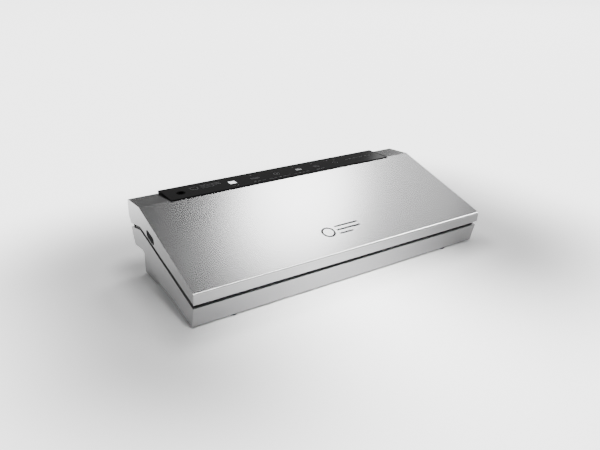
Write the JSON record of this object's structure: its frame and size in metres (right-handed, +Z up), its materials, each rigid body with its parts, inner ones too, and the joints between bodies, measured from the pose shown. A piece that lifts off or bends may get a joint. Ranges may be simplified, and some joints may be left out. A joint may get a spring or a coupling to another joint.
{
  "type": "vacuum sealer",
  "caption": "Low wedge-shaped bench-top vacuum bag sealer with a rear-hinged lid, black touch panel, side release buttons and an inner vacuum chamber with seal bar.",
  "frame": {"origin": "on the table under the middle of the closed sealer", "axes": "+X to the user's right along the length, -Y is the front, +Z up"},
  "size_m": [0.4, 0.1828, 0.0901],
  "materials": {
    "silver_satin": "satin silver finish on the outer shells",
    "black_satin": "fine matte black moulding",
    "panel_black": "black panel frame",
    "panel_gloss": "dark glossy overlay",
    "key_window": "milky lit window",
    "rubber_black": "soft black rubber",
    "foam_gasket": "soft closed-cell gasket",
    "silicone_pale": "pale silicone pressure strip",
    "tray_plastic": "dark tray moulding",
    "ptfe": "brown non-stick glass cloth",
    "bar_phenolic": "heat-proof bar",
    "nichrome": "flat heating wire",
    "steel_zinc": "zinc-plated steel",
    "steel_shaft": "ground steel",
    "motor_can": "pressed steel motor can",
    "pump_plastic": "pump housing",
    "white_plastic": "natural white moulding",
    "clear_guide": "clear light guides",
    "board_green": "circuit board",
    "iron_core": "laminated iron and copper winding",
    "silicone_hose": "translucent silicone hose",
    "harness_grey": "grey ribbon cable",
    "spring_steel": "spring wire",
    "plate_grey": "blank plate"
  },
  "bodies": {
    "base": {"base_shell": "silver_satin", "chamber_deck": "black_satin", "drip_tray": "tray_plastic", "lower_gasket": "foam_gasket", "seal_bar": "bar_phenolic", "heating_wire": "nichrome", "seal_tape": "ptfe", "bag_stops": "black_satin", "suction_nozzle": "black_satin", "hinge_brackets": "steel_zinc", "hinge_pins": "steel_shaft", "pump_motor": "motor_can", "pump_head": "pump_plastic", "pump_bracket": "steel_zinc", "pump_mounts": "rubber_black", "vent_valve": "white_plastic", "valve_spring": "spring_steel", "vacuum_switch": "white_plastic", "transformer": "iron_core", "power_board": "board_green", "thermal_fuse": "white_plastic", "lid_switch": "black_satin", "mains_gland": "rubber_black", "suction_hose": "silicone_hose", "vent_hose": "silicone_hose", "port_hose": "silicone_hose", "flex_harness": "harness_grey", "bottom_cover": "black_satin", "rating_plate": "plate_grey", "rubber_feet": "rubber_black", "base_screws": "steel_zinc", "deck_screws": "steel_zinc", "catch_plates": "steel_zinc"},
    "lid": {"lid_cover": "silver_satin", "lid_inner": "black_satin", "upper_gasket": "foam_gasket", "pressure_strip": "silicone_pale", "panel_frame": "panel_black", "panel_overlay": "panel_gloss", "control_board": "board_green", "touch_springs": "spring_steel", "light_guides": "clear_guide", "start_key": "key_window", "accessory_port": "panel_black", "port_seal": "rubber_black", "hinge_leaves": "steel_zinc", "lid_screws": "steel_zinc", "hook_pins": "steel_shaft", "button_spring_left": "spring_steel", "button_spring_right": "spring_steel"},
    "button_left": {"release_button_left": "black_satin"},
    "button_right": {"release_button_right": "black_satin"},
    "hook_left": {"latch_hook_left": "white_plastic"},
    "hook_right": {"latch_hook_right": "white_plastic"},
    "plunger": {"valve_plunger": "steel_shaft"},
    "switch_lever": {"switch_lever": "steel_zinc"},
    "crank": {"motor_shaft": "steel_shaft", "pump_eccentric": "white_plastic"}
  },
  "joints": [
    {"name": "lid_hinge", "type": "hinge", "parent": "base", "child": "lid", "pos_m": [0, 0.0832, 0.056], "axis": [-1, 0, 0], "range_deg": [0, 75], "deforming": ["port_hose", "flex_harness"]},
    {"name": "button_left_slide", "type": "slide", "parent": "lid", "child": "button_left", "axis": [1, 0, 0], "range_m": [0, 0.0016], "stiffness_N_per_m": 1500, "springref_m": -0.0005, "deforming": ["button_spring_left"]},
    {"name": "button_right_slide", "type": "slide", "parent": "lid", "child": "button_right", "axis": [-1, 0, 0], "range_m": [0, 0.0016], "stiffness_N_per_m": 1500, "springref_m": -0.0005, "deforming": ["button_spring_right"]},
    {"name": "hook_left_pivot", "type": "hinge", "parent": "lid", "child": "hook_left", "pos_m": [-0.1877, 0.0197, 0.07131], "axis": [0, 0.9724, 0.2334], "range_deg": [-11, 0.5]},
    {"name": "hook_right_pivot", "type": "hinge", "parent": "lid", "child": "hook_right", "pos_m": [0.1877, 0.0197, 0.07131], "axis": [0, 0.9724, 0.2334], "range_deg": [-0.5, 11]},
    {"name": "valve_plunger_slide", "type": "slide", "parent": "base", "child": "plunger", "axis": [0, 0, -1], "range_m": [0, 0.002], "stiffness_N_per_m": 300, "springref_m": -0.001, "deforming": ["valve_spring"]},
    {"name": "switch_lever_pivot", "type": "hinge", "parent": "base", "child": "switch_lever", "pos_m": [-0.177, 0.042, 0.049], "axis": [1, 0, 0], "range_deg": [0, 4], "stiffness_Nm_per_rad": 0.02, "springref_deg": -5.73},
    {"name": "crank_spin", "type": "hinge", "parent": "base", "child": "crank", "pos_m": [0.1, 0.038, 0.026], "axis": [1, 0, 0], "continuous": true}
  ],
  "couplings": [
    {"joint": "hook_left_pivot", "follows": "button_left_slide", "rad_per_m": -116.28},
    {"joint": "hook_right_pivot", "follows": "button_right_slide", "rad_per_m": 116.28}
  ]
}
